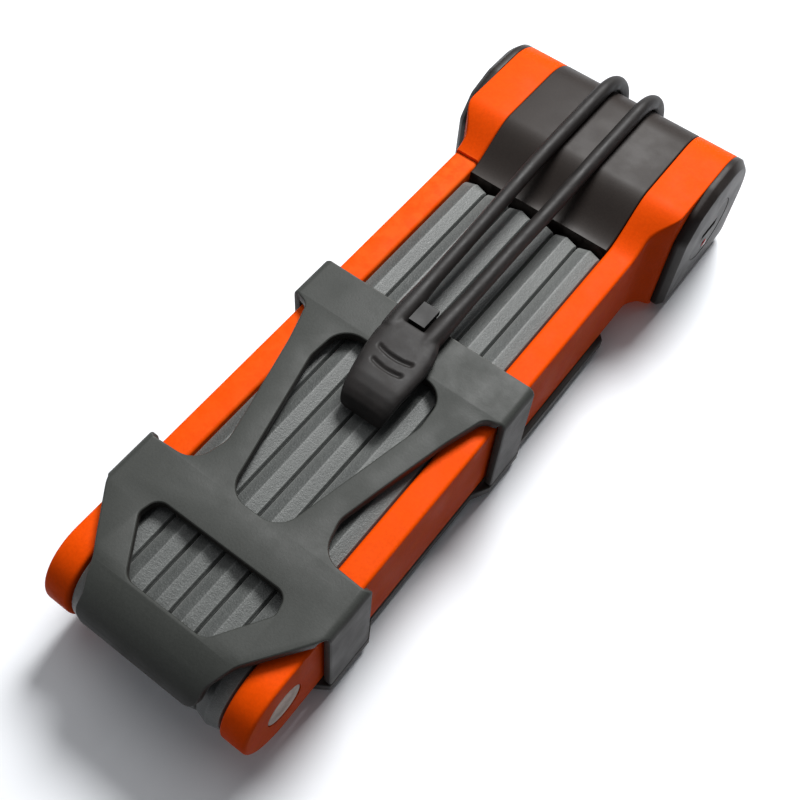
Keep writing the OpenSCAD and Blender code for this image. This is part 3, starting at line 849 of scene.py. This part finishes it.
CORD_R = 2.0
CORD_X = 5.7
CORD_GAP = 0.15
EYE_R = 2.6
EYE_HALF = 2.5
VOXEL = 0.35


def catmull(points):
    """Smooth curve through given points."""
    per = 6
    pts = [Vector(p) for p in points]
    pts = [pts[0] * 2 - pts[1]] + pts + [pts[-1] * 2 - pts[-2]]
    out = []
    for a, b, c, d in zip(pts, pts[1:], pts[2:], pts[3:]):
        for i in range(per):
            t = i / per
            out.append(0.5 * ((2 * b) + (c - a) * t + (2 * a - 5 * b + 4 * c - d) * t ** 2
                              + (3 * b - a - 3 * c + d) * t ** 3))
    out.append(pts[-2])
    return out


def tube(bm, path, radius):
    """Round tube along a path; radius is a function of 0..1 along it."""
    rings = []
    n = len(path)
    angles = [2 * math.pi * k / 20 for k in range(20)]
    for i, p in enumerate(path):
        t = (path[min(i + 1, n - 1)] - path[max(i - 1, 0)]).normalized()
        u = t.cross(Vector((1, 0, 0)))
        u = u.normalized() if u.length > 1e-4 else Vector((0, 0, 1))
        w = u.cross(t).normalized()
        r = radius(i / (n - 1))
        rings.append([p + u * r * math.cos(a) + w * r * math.sin(a) for a in angles])
    loft(bm, rings)


def cord_points():
    """Right cord: from the pin up the back of the head, over its top and in to the tab."""
    top = HEAD_TOP + CORD_GAP + CORD_R
    back = HEAD_BACK + CORD_GAP + CORD_R
    over = arc(FLAT_Y, ROUND_Z, back - FLAT_Y, top - ROUND_Z, 0, 90, 10)
    return ([(CORD_X, back, PIN_Z + 1), (CORD_X, back, -20)] + [(CORD_X, y, z) for y, z in over]
            + [(CORD_X, 162, top), (CORD_X, 152, top), (5.7, 142, 9.6), (5.5, 128, 8.8), (5.2, 114, 8.1),
               (5.1, 102, 7.5), (5.0, 94, 7.1), (4.85, 88, 6.8), (4.8, 82, 6.5), (4.6, 78, 6.3)])


def cord_radius(t):
    """The cords swell where they run into the tab."""
    return CORD_R + 0.55 * ease((t - 0.84) / 0.1)


def tab_rows():
    """Sections of the pull tab: y, middle height, half width, half thickness."""
    return [(80.9, 6.5, 6.6, 2.2), (79, 6.45, 7.5, 2.35), (75.5, 6.4, 8.1, 2.35), (71, 6.35, 8.0, 2.25),
            (67, 6.3, 7.6, 2.2), (64, 6.2, 7.2, 2.2), (61.5, 5.7, 6.9, 2.2), (59.6, 4.9, 6.6, 2.15),
            (58.2, 3.9, 6.2, 2.0), (57.3, 2.7, 5.8, 1.5)]


def tab_mid(y):
    """The tab leans a little to the right."""
    return 0.4 + (84 - y) * 0.09


def strap():
    """One rubber moulding: two cords, their eyes round the pin and the pull tab."""
    bm = bmesh.new()
    for side in (1, -1):
        path = catmull([(side * x, y, z) for x, y, z in cord_points()])
        tube(bm, path, cord_radius)
        x0, x1 = side * (CORD_X - EYE_HALF), side * (CORD_X + EYE_HALF)
        lathe_x(bm, [(x0, EYE_R), (x1, EYE_R)], PIN_Y, PIN_Z, 32)
    rings = []
    for y, z, w, t in tab_rows():
        ring = []
        for i in range(36):
            a = 2 * math.pi * i / 36
            c, s = math.cos(a), math.sin(a)
            ring.append((tab_mid(y) + w * math.copysign(abs(c) ** 0.5, c), y,
                         z + t * math.copysign(abs(s) ** 0.65, s)))
        rings.append(ring)
    loft(bm, rings)
    merge_and_finish(bm)


def merge_and_finish(bm):
    """Joins the strap's overlapping solids into one smooth skin."""
    bmesh.ops.recalc_face_normals(bm, faces=bm.faces)
    for v in bm.verts:
        v.co = to_world(v.co)
    mesh = bpy.data.meshes.new("strap_union")
    bm.to_mesh(mesh)
    bm.free()
    obj = bpy.data.objects.new("strap_union", mesh)
    bpy.context.scene.collection.objects.link(obj)
    mod = obj.modifiers.new("join", "REMESH")
    mod.mode = "VOXEL"
    mod.voxel_size = VOXEL * MM
    smooth = obj.modifiers.new("smooth", "SMOOTH")
    smooth.iterations = 8
    smooth.factor = 0.5
    done = bpy.data.meshes.new_from_object(obj.evaluated_get(bpy.context.evaluated_depsgraph_get()))
    bpy.data.objects.remove(obj)
    bm = bmesh.new()
    bm.from_mesh(done)
    for v in bm.verts:
        v.co = to_link(v.co)
        press_tab(v)
    piece("rubber_strap", bm, RUBBER, "strap_band", ["strap"], crease=60)


def press_tab(v):
    """Two finger grooves pressed into the top of the tab."""
    x, y, z = v.co
    x -= tab_mid(y)
    if not 62 < y < 76 or z < 6.6 or abs(x) > 6:
        return
    depth = 0.0
    deepest, half_width = 0.6, 0.7
    for centre, reach in ((72.0, 5.2), (68.4, 4.6)):
        line = centre - (1 - (x / 5) ** 2)
        across = abs(y - line) / half_width
        if across < 1 and abs(x) < reach:
            depth = max(depth, deepest * (1 - across ** 2) * ease(reach - abs(x)))
    v.co.z -= depth


# ---------- what stays as CAD, with a better finish ----------

def finish_cad():
    """Metal and nylon for the nodes that are shown as they come from the CAD."""
    finishes = {"strap_pin": STEEL, "head_rods": STEEL, "disc_pack": STEEL, "sidebar": STEEL,
                "tail_crank": STEEL, "bolt_spring": STEEL, "locking_bolt": HARD_STEEL,
                "lock_cylinder": BRASS, "key_plug": BRASS}
    for k in range(1, 9):
        finishes["link_core_%d" % k] = HARD_STEEL
    for p in range(1, 8):
        finishes["washer_%d" % p] = NYLON
    for node, material in finishes.items():
        mesh = NODES[node].data
        mesh.materials.clear()
        mesh.materials.append(material)


# ---------- studio ----------

def facing_from(place, target):
    """Puts a camera or lamp at one place, looking at another."""
    turned = (target - place).to_track_quat("-Z", "Y")
    return Matrix.Translation(place) @ turned.to_matrix().to_4x4()


def camera_and_light():
    """Camera over the tail's right corner, soft light from above the head."""
    cam = bpy.data.objects.new("camera", bpy.data.cameras.new("camera"))
    bpy.context.scene.collection.objects.link(cam)
    cam.data.lens = 50.4
    cam.data.sensor_width = 36
    cam.data.clip_start = 0.01
    eye = to_world((77.2, -47.45, 217.6))
    aim = to_world((7.6, 65.85, 3.0))
    roll = Matrix.Rotation(math.radians(6.06), 4, "Z")
    cam.matrix_world = facing_from(eye, aim) @ roll
    bpy.context.scene.camera = cam
    bpy.context.scene.view_settings.view_transform = "Standard"
    centre = Vector((0, 0, 0.02))
    for name, place, size, power in (("key", (-0.1, 0.62, 0.86), 0.4, 14.5),
                                     ("top", (-0.2, 0.1, 0.9), 0.6, 1.6),
                                     ("fill", (-0.6, -0.5, 0.5), 0.8, 0.3)):
        light = bpy.data.objects.new(name, bpy.data.lights.new(name, "AREA"))
        bpy.context.scene.collection.objects.link(light)
        light.data.shape = "DISK"
        light.data.size = size
        light.data.energy = power
        light.matrix_world = facing_from(Vector(place), centre)
    world = bpy.data.worlds.new("studio")
    world.use_nodes = True
    background = world.node_tree.nodes["Background"]
    background.inputs["Color"].default_value = (0.93, 0.95, 1.0, 1)
    background.inputs["Strength"].default_value = 0.14
    bpy.context.scene.world = world


def floor():
    """Pale floor that throws no light back up at the sides of the lock."""
    bm = bmesh.new()
    size = 3.0
    for x, y in ((-size, -size), (size, -size), (size, size), (-size, size)):
        bm.verts.new((x, y, 0))
    bm.faces.new(bm.verts)
    mesh = bpy.data.meshes.new("floor")
    bm.to_mesh(mesh)
    bm.free()
    obj = bpy.data.objects.new("floor", mesh)
    bpy.context.scene.collection.objects.link(obj)
    n = Nodes("pale_floor")
    n.finish(Base_Color=n.ramp(n.noise(3.0), [(0.3, (0.90, 0.92, 0.95)), (0.7, (0.92, 0.94, 0.97))]),
             Roughness=0.9)
    obj.data.materials.append(n.mat)
    obj.visible_diffuse = False


camera_and_light()
floor()
for link in range(2, 8):
    inner_link(link)
outer_link(1)
outer_link(8)
left_shoulder()
head_block()
side_cap(1)
side_cap(-1)
dust_parts()
for pivot in range(1, 8):
    rivet_piece(pivot)
cage()
bevel_copy("back_moulding", "holder_back", BACK_BLACK, "holder", 0.35)
bevel_copy("hook_peg", "strap_peg", PEG_BLACK, "holder", 0.5, segments=3)
pads()
strap()
finish_cad()
